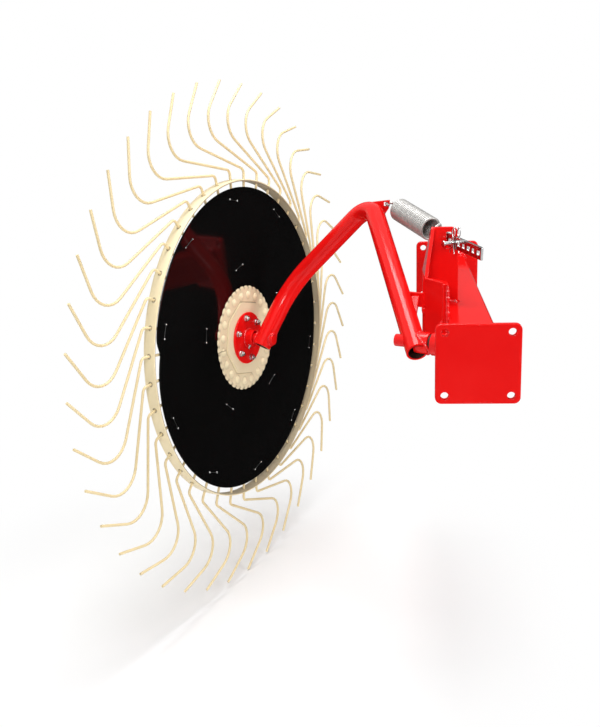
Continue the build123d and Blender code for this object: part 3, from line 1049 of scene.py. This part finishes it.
@dataclass
class SwingArm:
    """The bent arm tube with its bush, lugs, strut, axle and welds."""

    tube_radius: float = 25.0
    bore: float = 20.0
    corner: Triple = (-221.0, 614.0, 254.0)
    knee: Triple = (-448.1, 680.0, 13.5)
    bends: Pair = (240.0, 62.0)
    axle_tail: float = 22.0
    pivot_tail: float = 34.0
    arm_axial: float = 68.0
    bush_radius: float = 24.5
    bush_span: Pair = (6.0, 38.5)
    axle_radius: float = 15.0
    axle_span: Pair = (-41.0, 98.0)
    axle_head: Pair = (22.0, 5.0)
    bush_bead: float = 3.2
    axle_bead: float = 2.8
    lug_bead: float = 3.0

    @property
    def axle_at(self) -> np.ndarray:
        """Where the tube's centre line meets the axle."""
        return WHEEL.out((0.0, 0.0, self.arm_axial))

    def route(self) -> np.ndarray:
        """Centre line from the axle's open end over the knee and the bend to the pivot's open end.

        Returns:
            Points of shape (n, 3).
        """
        pivot_at = np.asarray(PIVOT.origin)
        first = self.axle_at + unit(self.axle_at - self.knee) * self.axle_tail
        last = pivot_at + unit(pivot_at - self.corner) * self.pivot_tail
        return bent_path([first, self.knee, self.corner, last], self.bends, 9.0)

    def bush_ring(
        self, radius: float, place: Place, centre: np.ndarray, way: np.ndarray, sign: float
    ) -> np.ndarray:
        """The line where a round bar meets the arm tube: points of its skin slid along it to the tube's skin.

        Args:
            radius: radius of the bar.
            place: frame of the bar, its z axis along it.
            centre: a point on the tube's axis.
            way: direction of the tube's axis.
            sign: side of the tube, 1 or -1 along the bar.

        Returns:
            A closed loop of points.
        """
        along = place.axes[2]
        skin = place.out(round_points(radius, circle(56), 0.0))
        rise = skin - centre
        flat = rise - (rise @ way)[:, None] * way
        run = along - (along @ way) * way
        a, b = run @ run, flat @ run
        c = (flat * flat).sum(1) - (self.tube_radius + 0.6) ** 2
        slide = (-b + sign * np.sqrt(np.maximum(b * b - a * c, 0))) / a
        return skin + slide[:, None] * along

    def beads(self) -> Surface:
        """Weld beads where the bush, the axle and the lugs meet the tube.

        Returns:
            All beads in one.
        """
        pivot_at = np.asarray(PIVOT.origin)
        leg, low_leg = unit(pivot_at - self.corner), unit(self.axle_at - self.knee)
        bush = self.bush_ring(self.bush_radius - 1.5, PIVOT, pivot_at, leg, 1.0)
        parts = [weld(bush, self.bush_bead, PIVOT.axes[2], closed=True)]
        for sign in (1.0, -1.0):
            loop = self.bush_ring(self.axle_radius + 1.2, WHEEL, self.axle_at, low_leg, sign)
            parts.append(weld(loop, self.axle_bead, WHEEL.axes[2], closed=True))
        stop_seam = PIVOT.out(((133.0, 60.0, -70.5), (133.0, 78.0, -69.5)))
        spring_seam = np.array(((-212.0, 586.0, 222.0), (-204.0, 585.5, 236.0), (-206.0, 586.0, 250.0)))
        parts += [weld(stop_seam, self.lug_bead, X_AXIS), weld(spring_seam, self.lug_bead, Y_AXIS)]
        return Surface.joined(parts)

    def build(self, fitter: Fitter) -> None:
        """Builds and dresses every piece of the arm.

        Args:
            fitter: what puts the pieces into the scene.
        """
        route = self.route()
        corner = np.asarray(self.corner)
        side = unit(np.cross(corner - self.knee, np.asarray(PIVOT.origin) - corner))
        pipe = sleeve(route, self.tube_radius, self.bore, 0.9, 72, side)
        fitter.dress("arm_pipe", pipe, RED, Body.ARM, "arm_tube")
        # Near-black linings inside both ends of the tube: painted shade.
        ends = (route[:10], route[-14:])
        linings = (sleeve(end, self.bore + 0.1, self.bore - 0.5, 0.1, 64, side) for end in ends)
        fitter.dress("arm_end_shade_linings", Surface.joined(linings), HOLLOW_SHADE, Body.ARM)
        bush = lathe(PIVOT, bar_profile(self.bush_radius, *self.bush_span, 1.8), 64)
        fitter.dress("pivot_bush_turned", bush, RED, Body.ARM, "arm_bush")
        for node, width in (("spring_lug", 1.4), ("stop_lug", 1.2), ("stop_strut", 1.0)):
            fitter.eased_copy(node, node + "_plate", width, RED, Body.ARM)
        (low, high), (head_radius, head_thick) = self.axle_span, self.axle_head
        head = lathe(WHEEL, bar_profile(head_radius, low, low + head_thick, 1.2), 64)
        bar = lathe(WHEEL, bar_profile(self.axle_radius, low + 4.0, high, 1.8), 64)
        fitter.dress("wheel_axle_turned", Surface.joined([head, bar]), RED, Body.ARM, "wheel_axle")
        fitter.dress("arm_welds", self.beads(), RED_WELD, Body.ARM, crease=60)


WASHER = (3.0, 9.0, -0.2, 1.6, 0.4)
BOLT_END = (4.2, 7.0, 12.5, 0.9)
NUT_PROFILE = ((7.2, 1.4), (8.0, 1.9), (8.0, 7.4), (7.0, 8.3))
NIPPLE_BASE = ((4.6, 0.0), (5.0, 0.5), (5.0, 4.5), (4.4, 5.0))
NIPPLE_BALL = ((3.4, 4.6), (2.4, 7.5), (2.1, 9.0), (3.0, 10.2), (3.2, 11.2), (2.4, 12.6), (1.2, 13.2))


@dataclass
class FingerWheel:
    """The raking wheel: hub, clamp plates, sheet disc, rim hoop, forty wire fingers and their fixings."""

    fingers: int = 40
    wire: float = 3.5
    root: float = 92.0
    phase: float = 144.0
    elbow: float = 30.0
    hook: Pair = (-266.0, 94.0)
    tip: Pair = (-181.0, 242.0)
    finger_bends: Pair = (14.0, 60.0)
    tip_back: float = -30.0
    rim_radius: float = 434.0
    rim_thick: float = 5.0
    rim_half: float = 16.0
    rim_edge: float = 1.4
    rim_hole: Pair = (4.9, 4.2)
    hole_ease: float = 0.6
    # Shares of painted shade round the finger holes and on the rim's inner face.
    hole_shade: float = 0.75
    inside_shade: float = 0.62
    disc_radius: float = 416.0
    disc_span: Pair = (3.5, 6.5)
    dent_depth: float = 17.0
    dent_at: float = 171.6
    dent_reach: Pair = (3.6, 11.0)
    dent_from: Pair = (370.0, 46.0)
    clamp_radius: float = 145.0
    clamp_thick: float = 5.0
    domes: int = 20
    dome_circle: float = 120.0
    dome_rise: float = 7.0
    dome_reach: float = 11.5
    flute_rise: float = 2.0
    flute_from: Pair = (118.0, 27.0)
    draw: float = 2.6
    draw_from: Pair = (132.0, 13.0)
    bevel_drop: float = 3.0
    bevel_from: Pair = (140.0, 5.0)
    groove_off: float = 1.6
    groove_depth: float = 1.8
    joint_depth: float = 1.6
    joint_at: float = 2.0
    # Shares of painted shade in the plate's joints, round the domes' feet and between the flutes, and the
    # most it may reach.
    joint_shade: float = 0.75
    dome_shade: float = 0.16
    gap_shade: float = 0.55
    most_shade: float = 0.92
    hub_radius: float = 23.5
    hub_span: Pair = (-34.0, 38.0)
    hub_gap: float = 0.2
    hub_bore: float = 15.3
    seat_radius: float = 19.2
    seat_depth: float = 11.0
    octagon_radius: float = 105.0
    octagon_thick: float = 2.5
    octagon_turn: float = 8.0
    octagon_ease: float = 0.5
    flange_radius: float = 72.0
    flange_span: Pair = (11.0, 16.0)
    bolts_round: int = 6
    bolt_circle: float = 57.0
    bolts_from: float = 35.0
    nipple_at: Pair = (-140.0, 30.0)
    outer_ties: tuple[float, float, int] = (384.0, 54.8, 10)
    inner_ties: tuple[float, float, int] = (200.0, 91.5, 5)
    tie_half: float = 18.0
    tie_wire: float = 0.7
    tie_lift: float = 1.1
    knot_half: float = 2.4
    knot_lift: float = 0.9

    def finger_path(self) -> np.ndarray:
        """One finger in the wheel's plane: a spoke, a bend behind the rim, a long hook and a leaning tip.

        Returns:
            Points of shape (n, 3), the spoke along y.
        """
        rim = self.rim_radius
        flat = ((0.0, self.root - rim), (0.0, self.elbow), self.hook, self.tip)
        path = bent_path([(x, rim + y, 0.0) for x, y in flat], self.finger_bends, 16.0)
        length = run_length(path)
        start = rim + self.elbow - self.root - self.finger_bends[0]
        path[:, 2] = self.tip_back * ramp(length, start, length[-1] - start)
        return path

    def finger_set(self) -> Surface:
        """All fingers: the one tube turned by the phase less 9 degrees for each.

        Returns:
            Forty capped wires in the row frame.
        """
        one = tube(self.finger_path(), self.wire, 10, Z_AXIS)
        turn = np.radians(self.phase - 90 - 360 / self.fingers * np.arange(self.fingers))
        x, y, z = one.points.T
        cos, sin = np.cos(turn)[:, None], np.sin(turn)[:, None]
        points = np.stack([x * cos - y * sin, x * sin + y * cos, z + 0 * cos], -1)
        return Surface.joined(Surface(block, one.faces) for block in WHEEL.out(points))

    def rim_cell(self) -> tuple[np.ndarray, np.ndarray, np.ndarray]:
        """One finger's share of the rim, unrolled: rays from the finger's oval hole to the cell's outline.

        P(i, a) = t(i, a) (cos a, sin a) in arc length and axle direction, with eased_half's half thickness.

        Returns:
            Grid of arc length, axle place and half thickness, a mask of the rays on the edge, and the painted
            shade round the hole.
        """
        outline = np.array((math.pi * self.rim_radius / self.fingers, self.rim_half))
        corner = math.atan2(outline[1], outline[0])
        quarter = np.unique(np.round(np.append(np.linspace(0, RIGHT_ANGLE, 11), corner), 9))
        rising, falling = quarter[:-1], quarter[:0:-1]
        angle = np.concatenate([rising, math.pi - falling, math.pi + rising, TURN - falling])
        way = np.stack([np.cos(angle), np.sin(angle)], 1)
        with np.errstate(divide="ignore"):
            reach = (outline / np.abs(way)).min(1)[:, None]
        hole = (1 / np.linalg.norm(way / self.rim_hole, axis=1))[:, None]
        near = np.array((0.0, self.hole_ease, 1.6, 3.2))
        far = np.array((2.0, 1.0, 0.5, 0.2, 0.05, 0.0)) * self.rim_edge
        rows = np.concatenate([hole + near, (hole + reach) / 2, reach - far], 1)
        flat = rows[:, :, None] * way[:, None]
        inset = self.rim_half - np.abs(flat[..., 1])
        away = rows - hole
        thick = eased_half(self.rim_thick, self.rim_edge, inset) - 0.5 * np.maximum(0, self.hole_ease - away)
        # Painted shade: a dark ring round each finger's hole, fading out over about 2 mm.
        shade_share = self.hole_shade * (1 - ramp(away, 0.4, 2.0))
        return np.concatenate([flat, thick[..., None]], -1), inset[:, -1] < 1e-6, shade_share

    def rim_band(self) -> Surface:
        """The rim hoop: the unrolled cell bent to the rim's radius and turned once for each finger.

        Returns:
            The pierced hoop, its cells still to be sealed, with painted shade round the holes and on its
            inner face.
        """
        cell, on_edge, shade_share = self.rim_cell()
        faces = pierced_faces(*cell.shape[:2], on_edge).tolist()
        first = np.radians(self.phase) + circle(self.fingers)
        angle = first[:, None, None, None] + cell[..., 0] / self.rim_radius
        radius = self.rim_radius + np.array((1.0, -1.0))[:, None, None] * cell[..., 2]
        points = WHEEL.out(round_points(radius, angle, cell[..., 1])).reshape(self.fingers, -1, 3)
        made = Surface.joined(Surface(block, faces) for block in points)
        # Painted shade: round the holes on both faces and over the whole inner face.
        made.seam = np.tile(np.stack([shade_share, np.maximum(shade_share, self.inside_shade)]).ravel(), self.fingers)
        return made.outward()

    def pressed_plate(self, front: bool) -> Surface:
        """A pressed clamp plate: z = T + domes + flutes over the fingers, r drawn in between at the edge.

        The domes are 7 (1 - (d / 11.5)^2)^0.9 about twenty centres, the flutes 2 (1 + cos 40 a) / 2 growing
        to the edge, which falls away as a bevel over its last 5 mm. A groove follows the octagon, and two
        joints halve the rim, all as deep as half their width. Painted shade darkens the groove, most on the
        side where its shadow falls, the joints, the gaps between flutes and a thin ring round each dome.

        Args:
            front: whether it is the plate on the disc's side.

        Returns:
            The closed plate.
        """
        spans = ((self.hub_radius + self.hub_gap, 94, 4), (96, 108, 16), (108.8, 139.5, 34), (140, 145, 8))
        rows = np.concatenate([np.linspace(*span) for span in spans])
        radius, angle = np.meshgrid(rows, circle(720), indexing="ij")
        turned = angle - math.radians(self.phase)
        wave = 0.5 + 0.5 * np.cos(self.fingers * turned)
        flute = self.flute_rise * wave * ramp(radius, *self.flute_from) ** 2
        radius = radius - self.draw * (1 - wave) ** 2 * ramp(radius, *self.draw_from)
        pitch = TURN / self.domes
        off = (turned + pitch / 4) % pitch - pitch / 2
        away = np.hypot(radius * np.cos(off) - self.dome_circle, radius * np.sin(off))
        dome = self.dome_rise * np.clip(1 - (away / self.dome_reach) ** 2, 0, None) ** 0.9
        half_side = TURN / 16
        across = radius * np.cos((angle - math.radians(self.octagon_turn)) % (2 * half_side) - half_side)
        beyond = across - self.octagon_radius * math.cos(half_side) - self.groove_off
        groove = peak(beyond, self.groove_depth) * front
        joint = peak(radius * np.sin(angle - math.radians(self.joint_at)), self.joint_depth) * (radius > 108)
        rise = self.clamp_thick + dome + flute - self.bevel_drop * ramp(radius, *self.bevel_from)
        rise = rise - self.groove_depth * groove - self.joint_depth * joint
        top = round_points(radius, angle, rise)
        base = top[[-1, 0]] * (1, 1, 0)
        rings = np.concatenate([top, base])
        rings[..., 2] += self.wire
        if not front:
            rings[..., 2] *= -1
        made = loft(WHEEL.out(rings), closed=True)
        # Painted shade: the groove, darker on the side where its shadow falls, the joints, the gaps between
        # flutes and a ring at each dome's foot.
        shadow_side = 0.40 + 0.60 * np.clip(np.cos(angle - math.radians(25)), 0, 1)
        ring = self.dome_shade * np.exp(-(((away - 11.8) / 1.6) ** 2))
        gap = self.gap_shade * (1 - wave) ** 3 * ramp(radius, 134, 6)
        shade_mask = np.clip(groove * shadow_side + self.joint_shade * joint + ring + gap, 0, self.most_shade)
        made.seam = np.concatenate([shade_mask, shade_mask[[-1, 0]]]).ravel()
        return made

    def disc_sheet(self) -> Surface:
        """The wind disc: a thin sheet, its edge dented at one side.

        z is bowed by the positive part of 0.9 sin(2 a + 0.6) (r / R)^2 + 0.5 sin(5 a) s^3, s the share of
        the way out. The dent is 17 mm deep, a Gaussian on its upper side and an exponential fall on its
        lower side.

        Returns:
            The closed sheet with a rolled edge.
        """
        low, high = self.disc_span
        inner = self.clamp_radius - 4
        share = np.concatenate([np.linspace(0, 0.94, 16), [0.98, 0.992, 0.998, 1.0]])[:, None]
        radius, angle = np.broadcast_arrays(inner + share * (self.disc_radius - inner), circle(360))
        place = np.degrees(angle) - self.dent_at
        above, below = self.dent_reach
        fall = np.where(place < 0, np.exp(-((place / above) ** 2)), np.exp(-np.maximum(place / below, 0)))
        radius = radius - self.dent_depth * fall * ramp(radius, *self.dent_from) ** 2
        bow = 0.9 * np.sin(2 * angle + 0.6) * (radius / self.disc_radius) ** 2
        bow = bow + 0.5 * np.sin(5 * angle) * share**3
        half = (high - low) / 2 * np.sqrt(1 - 0.9 * ramp(share, 0.99, 0.01) ** 2)
        middle = (low + high) / 2 + np.maximum(bow, 0.0)
        top = round_points(radius, angle, middle + half)
        base = round_points(radius, angle, middle - half)[::-1]
        return loft(WHEEL.out(np.concatenate([top, base])), closed=True)

    def octagon_plate(self) -> Surface:
        """The flat octagon with eased edges: r(a) = R cos(pi / 8) / cos(a mod pi / 4 - pi / 8).

        Returns:
            The closed plate with the hub's hole.
        """
        low = self.wire + self.clamp_thick
        high = low + self.octagon_thick
        angle = circle(320)
        pitch = TURN / 8
        across = self.octagon_radius * math.cos(pitch / 2)
        reach = across / np.cos((angle - math.radians(self.octagon_turn)) % pitch - pitch / 2)
        inner, ease = self.hub_radius + self.hub_gap, self.octagon_ease
        lower = [(inner, low), (reach - ease, low), (reach, low + ease)]
        upper = [(reach, high - ease), (reach - ease, high), (inner, high)]
        rings = np.stack([round_points(radius, angle, height) for radius, height in lower + upper])
        return loft(WHEEL.out(rings), closed=True)

    def hub_sleeve(self) -> Surface:
        """The hub tube with its bore and a stepped seat at the outer end, turned from one closed profile.

        Returns:
            The closed tube.
        """
        low, high = self.hub_span
        skin, bore, seat, ease = self.hub_radius, self.hub_bore, self.seat_radius, 1.4
        floor = high - self.seat_depth
        profile = [(bore, low + 1.0), (bore + 1.0, low), (skin - ease, low), (skin, low + ease)]
        profile += [(skin, high - ease), (skin - ease, high), (seat + 0.6, high), (seat, high - 0.6)]
        profile += [(seat, floor), (bore, floor - 0.5)]
        return lathe(WHEEL, profile, 72, closed=True)

    def bolts(self) -> Surface:
        """The bolts on the hub flange: a washer, a six-sided nut and the bolt's end, turned about one axis.

        Returns:
            All bolts in one.
        """
        parts: list[Surface] = []
        for number in range(self.bolts_round):
            angle = math.radians(self.bolts_from + 360 / self.bolts_round * number)
            centre = round_points(self.bolt_circle, angle, self.flange_span[1])
            place = WHEEL.moved(centre, angle * 3 + number)
            parts.append(lathe(place, ring_profile(*WASHER), 36, closed=True))
            parts.append(lathe(place, NUT_PROFILE, 6))
            parts.append(lathe(place, bar_profile(*BOLT_END), 24))
        return Surface.joined(parts)

    def nipple(self) -> Surface:
        """A grease nipple on the hub tube: a six-sided base, a cone and a ball end.

        Returns:
            The two turned pieces in one.
        """
        angle, height = math.radians(self.nipple_at[0]), self.nipple_at[1]
        way = round_points(1.0, angle, 0.0) @ WHEEL.axes
        foot = WHEEL.out(round_points(self.hub_radius - 1.0, angle, height))
        place = Place(tuple(foot), tuple(WHEEL.axes[2]), tuple(way))
        return Surface.joined([lathe(place, NIPPLE_BASE, 6), lathe(place, NIPPLE_BALL, 24)])

    def ties(self) -> tuple[Surface, Surface]:
        """Wire ties that hold the disc to the fingers: a thin staple along the turn with a knot at each end.

        Returns:
            The dark wires and the bright knots.
        """
        wires: list[Surface] = []
        knots: list[Surface] = []
        share = np.linspace(-1, 1, 24)[:, None]
        bead = 0.5 + 1.5 * np.sin(np.linspace(0.1, math.pi - 0.1, 7))
        knot = np.linspace(-self.knot_half, self.knot_half, 7)[:, None]
        lift = (self.disc_span[1] + self.tie_lift) * Z_AXIS
        side = WHEEL.axes[2] + 0.2 * WHEEL.axes[0]
        for radius, start, count in (self.outer_ties, self.inner_ties):
            for number in range(count):
                out = round_points(1.0, math.radians(start + 360 / count * number), 0.0)
                along = np.cross(Z_AXIS, out) + 0.25 * math.sin(7.0 * number + radius) * out
                path = radius * out + self.tie_half * share * along + lift
                wires.append(tube(WHEEL.out(path), self.tie_wire, 8, side))
                for end in (path[0], path[-1]):
                    knots.append(tube(WHEEL.out(end + knot * out + self.knot_lift * Z_AXIS), bead, 10, side))
        return Surface.joined(wires), Surface.joined(knots)

    def build(self, fitter: Fitter) -> None:
        """Builds and dresses every piece of the wheel.

        Args:
            fitter: what puts the pieces into the scene.
        """
        body = Body.WHEEL
        fitter.dress("finger_wires", self.finger_set(), SHADED_CREAM_WIRE, body, "tines")
        fitter.dress("rim_band", self.rim_band(), CREAM, body, "rim_hoop", 40, sealed=True)
        fitter.dress("wind_disc_sheet", self.disc_sheet(), BLACK, body, "wind_disc")
        for front, node in ((True, "clamp_plate_front"), (False, "clamp_plate_rear")):
            fitter.dress(node + "_pressed", self.pressed_plate(front), CREAM, body, node, 55)
        fitter.dress("hub_octagon_plate", self.octagon_plate(), CREAM, body, "hub_octagon")
        profile = ring_profile(self.hub_radius, self.flange_radius, *self.flange_span, 1.6)
        flange = lathe(WHEEL, profile, 128, closed=True)
        fitter.dress("hub_flange_plate", flange, RED, body, "hub_flange")
        fitter.dress("hub_sleeve", self.hub_sleeve(), RED, body, "hub_tube", 30)
        joint = WHEEL.out(round_points(self.hub_radius + 1.2, circle(60), self.flange_span[1] + 1.2))
        bead = weld(joint, 3.2, WHEEL.axes[2], closed=True)
        fitter.dress("hub_weld", bead, RED_WELD, body, crease=60)
        fitter.dress("hub_bolts", self.bolts(), ZINC, body, crease=30)
        fitter.dress("grease_nipple", self.nipple(), ZINC, body, crease=30)
        wires, knots = self.ties()
        fitter.dress("disc_tie_wires", wires, TIE_WIRE, body)
        fitter.dress("disc_tie_knots", knots, ZINC, body)


def pose(x_dir: np.ndarray, z_dir: np.ndarray, origin: np.ndarray | Triple) -> Matrix:
    """The matrix of an object with the given x and z directions at a place in metres."""
    rows = np.stack([x_dir, np.cross(z_dir, x_dir), z_dir, origin], 1)
    return Matrix([*rows.tolist(), [0.0, 0.0, 0.0, 1.0]])


@dataclass(frozen=True)
class Lamp:
    """A square soft lamp aimed at a point, in metres and watts."""

    name: str
    place: Triple
    target: Triple
    size: float
    power: float


@dataclass(frozen=True)
class Flag:
    """A cloth that only reflections see: where it begins and runs to, half its width and its brightness."""

    name: str
    start: Pair
    ahead: Pair
    half: float
    grey: float


@dataclass
class Studio:
    """A pale floor, a white world, soft lamps and the camera at the photograph's angle."""

    eye: Triple = (-216.6, -2015.55, 651.18)
    forward: Triple = (-0.06819, 0.96256, -0.26236)
    right: Triple = (0.99762, 0.06294, -0.02837)
    focal: float = 1000.0
    centre: Pair = (305.96, 319.52)
    frame_size: tuple[int, int] = (600, 727)
    floor_tone: float = 0.88
    floor_glow: float = 0.01
    floor_drop: float = 0.001
    floor_reach: float = 30.0
    fade_centre: Triple = (-0.60, 0.50, 0.0)
    fade_span: Pair = (0.35, 1.0)
    world_light: float = 0.38
    flag_run: float = 2.0
    flag_bend: float = 0.6
    flag_lift: float = 0.002
    lamps: tuple[Lamp, ...] = (
        Lamp("key_softbox", (-0.75, -2.9, 1.45), (-0.3, 0.4, 0.0), 0.8, 42.0),
        Lamp("top_softbox", (-0.45, 0.60, 2.8), (-0.45, 0.60, 0.0), 1.5, 86.0),
        Lamp("right_softbox", (3.2, -0.9, 1.3), (-0.5, 0.6, -0.1), 1.5, 62.0),
    )
    flags: tuple[Flag, ...] = (
        Flag("black_flag", (-0.42, 0.62), (0.84, 0.54), 1.7, 0.008),
        Flag("grey_flag", (-0.2, 2.6), (0.0, 1.0), 3.0, 0.22),
        Flag("front_flag", (0.1, -1.0), (0.0, -1.0), 1.6, 0.10),
    )

    def camera(self) -> None:
        """Sets the camera: its axes are the photograph's right, up and backward directions."""
        width, height = self.frame_size
        longer = max(width, height)
        data = bpy.data.cameras.new("photo_camera")
        data.sensor_width = 36.0
        data.lens = self.focal / longer * data.sensor_width
        data.shift_x = (width / 2 - self.centre[0]) / longer
        data.shift_y = (self.centre[1] - height / 2) / longer
        data.clip_end = 60.0
        camera = set_out("photo_camera", data)
        ahead, right = unit(self.forward), unit(self.right)
        right = unit(right - (right @ ahead) * ahead)
        camera.matrix_world = pose(right, -ahead, np.asarray(self.eye) * MM)
        bpy.context.scene.camera = camera

    def pale_material(self) -> bpy.types.Material:
        """Makes the floor's material: pale and matt, fading to white for camera and glossy rays, shadow kept.

        Returns:
            The material.
        """
        made = bpy.data.materials.new("pale_floor")
        nodes = Nodes.of(made)
        seen = nodes.seen()
        where = nodes.add("TexCoord", {}, "Object")
        flat = nodes.add("VectorMath", {0: where, 1: (1.0, 1.0, 0.0)}, operation="MULTIPLY")
        away = nodes.add("VectorMath", {0: flat, 1: self.fade_centre}, "Value", operation="DISTANCE")
        span = {"From Min": self.fade_span[0], "From Max": self.fade_span[1]}
        fade = nodes.add("MapRange", {"Value": away, **span}, interpolation_type="SMOOTHSTEP")
        share = nodes.add("Math", {0: seen, 1: fade}, operation="MULTIPLY")
        raised = nodes.add("Math", {0: seen, 1: self.floor_glow}, operation="MULTIPLY")
        matt = nodes.add("BsdfDiffuse", {"Color": (*[self.floor_tone] * 3, 1.0)})
        lift = nodes.add("Emission", {"Color": WHITE, "Strength": raised})
        both = nodes.add("AddShader", {0: matt, 1: lift})
        glow = nodes.add("Emission", {"Color": WHITE, "Strength": 1.0})
        nodes.end(nodes.add("MixShader", {0: share, 1: both, 2: glow}))
        return made

    def floor(self) -> None:
        """Lays the floor under the lowest finger tip: one wide flat square."""
        corner = np.array(((-1, -1), (1, -1), (1, 1), (-1, 1))) * self.floor_reach
        points = np.concatenate([corner, np.full((4, 1), CAD_BOX[0][2] - self.floor_drop)], 1)
        mesh = bpy.data.meshes.new("pale_floor")
        mesh.from_pydata(points.tolist(), [], [[0, 1, 2, 3]])
        mesh.materials.append(self.pale_material())
        set_out("pale_floor", mesh)

    def hang(self, flag: Flag) -> None:
        """Hangs a flag: it lies on the floor along its run, curves up over a quarter circle and then stands.

        Args:
            flag: the cloth.
        """
        run = np.linspace(0.0, self.flag_run, 12)
        bend = np.linspace(0, RIGHT_ANGLE, 12)[1:]
        radius = self.flag_bend
        out = np.concatenate([run, self.flag_run + radius * np.sin(bend), np.full(6, self.flag_run + radius)])
        up = np.concatenate([0 * run, radius * (1 - np.cos(bend)), radius + np.linspace(0.15, 2.6, 6)])
        across = np.linspace(-flag.half, flag.half, 9)[:, None]
        way = unit((*flag.ahead, 0.0))
        foot = np.array((*flag.start, CAD_BOX[0][2] + self.flag_lift))
        profile = foot + out[:, None] * way + up[:, None] * Z_AXIS
        points = profile[:, None] + across * np.cross(Z_AXIS, way)
        mesh = bpy.data.meshes.new(flag.name)
        faces = grid_faces(*points.shape[:2], False, False)
        mesh.from_pydata(points.reshape(-1, 3).tolist(), [], faces.tolist())
        cloth = bpy.data.materials.new(flag.name)
        nodes = Nodes.of(cloth)
        nodes.end(nodes.add("Emission", {"Color": WHITE, "Strength": flag.grey}))
        mesh.materials.append(cloth)
        made = set_out(flag.name, mesh)
        made.visible_camera = False
        made.visible_diffuse = False
        made.visible_shadow = False
        made.visible_transmission = False

    def world(self) -> None:
        """Sets an even world: white to the camera and in reflections, softer as light."""
        world = bpy.data.worlds.new("white_studio")
        bpy.context.scene.world = world
        nodes = Nodes.of(world)
        seen = nodes.seen()
        soft = nodes.add("Background", {"Color": WHITE, "Strength": self.world_light})
        bright = nodes.add("Background", {"Color": WHITE, "Strength": 1.0})
        nodes.end(nodes.add("MixShader", {0: seen, 1: soft, 2: bright}), "OutputWorld")

    def light(self) -> None:
        """Hangs the soft lamps, each a square area lamp aimed at a point."""
        for lamp in self.lamps:
            data = bpy.data.lights.new(lamp.name, "AREA")
            data.size = lamp.size
            data.energy = lamp.power
            back = unit(np.asarray(lamp.place) - np.asarray(lamp.target))
            side = unit(np.cross((0.0, 1.0, 0.2), back))
            set_out(lamp.name, data).matrix_world = pose(side, back, lamp.place)

    def build(self) -> None:
        """Sets the whole studio."""
        bpy.context.scene.view_settings.view_transform = "Standard"
        self.camera()
        self.floor()
        for flag in self.flags:
            self.hang(flag)
        self.world()
        self.light()


def main() -> None:
    """Builds the sub-assemblies in order and reports each piece."""
    logging.basicConfig(level=logging.INFO, format="%(message)s")
    fitter = Fitter()
    for part in (BeamSection(), SpringSet(), SwingArm(), FingerWheel()):
        part.build(fitter)
    Studio().build()
    LOG.info("%d pieces dressed", fitter.count)


if __name__ == "__main__":
    main()
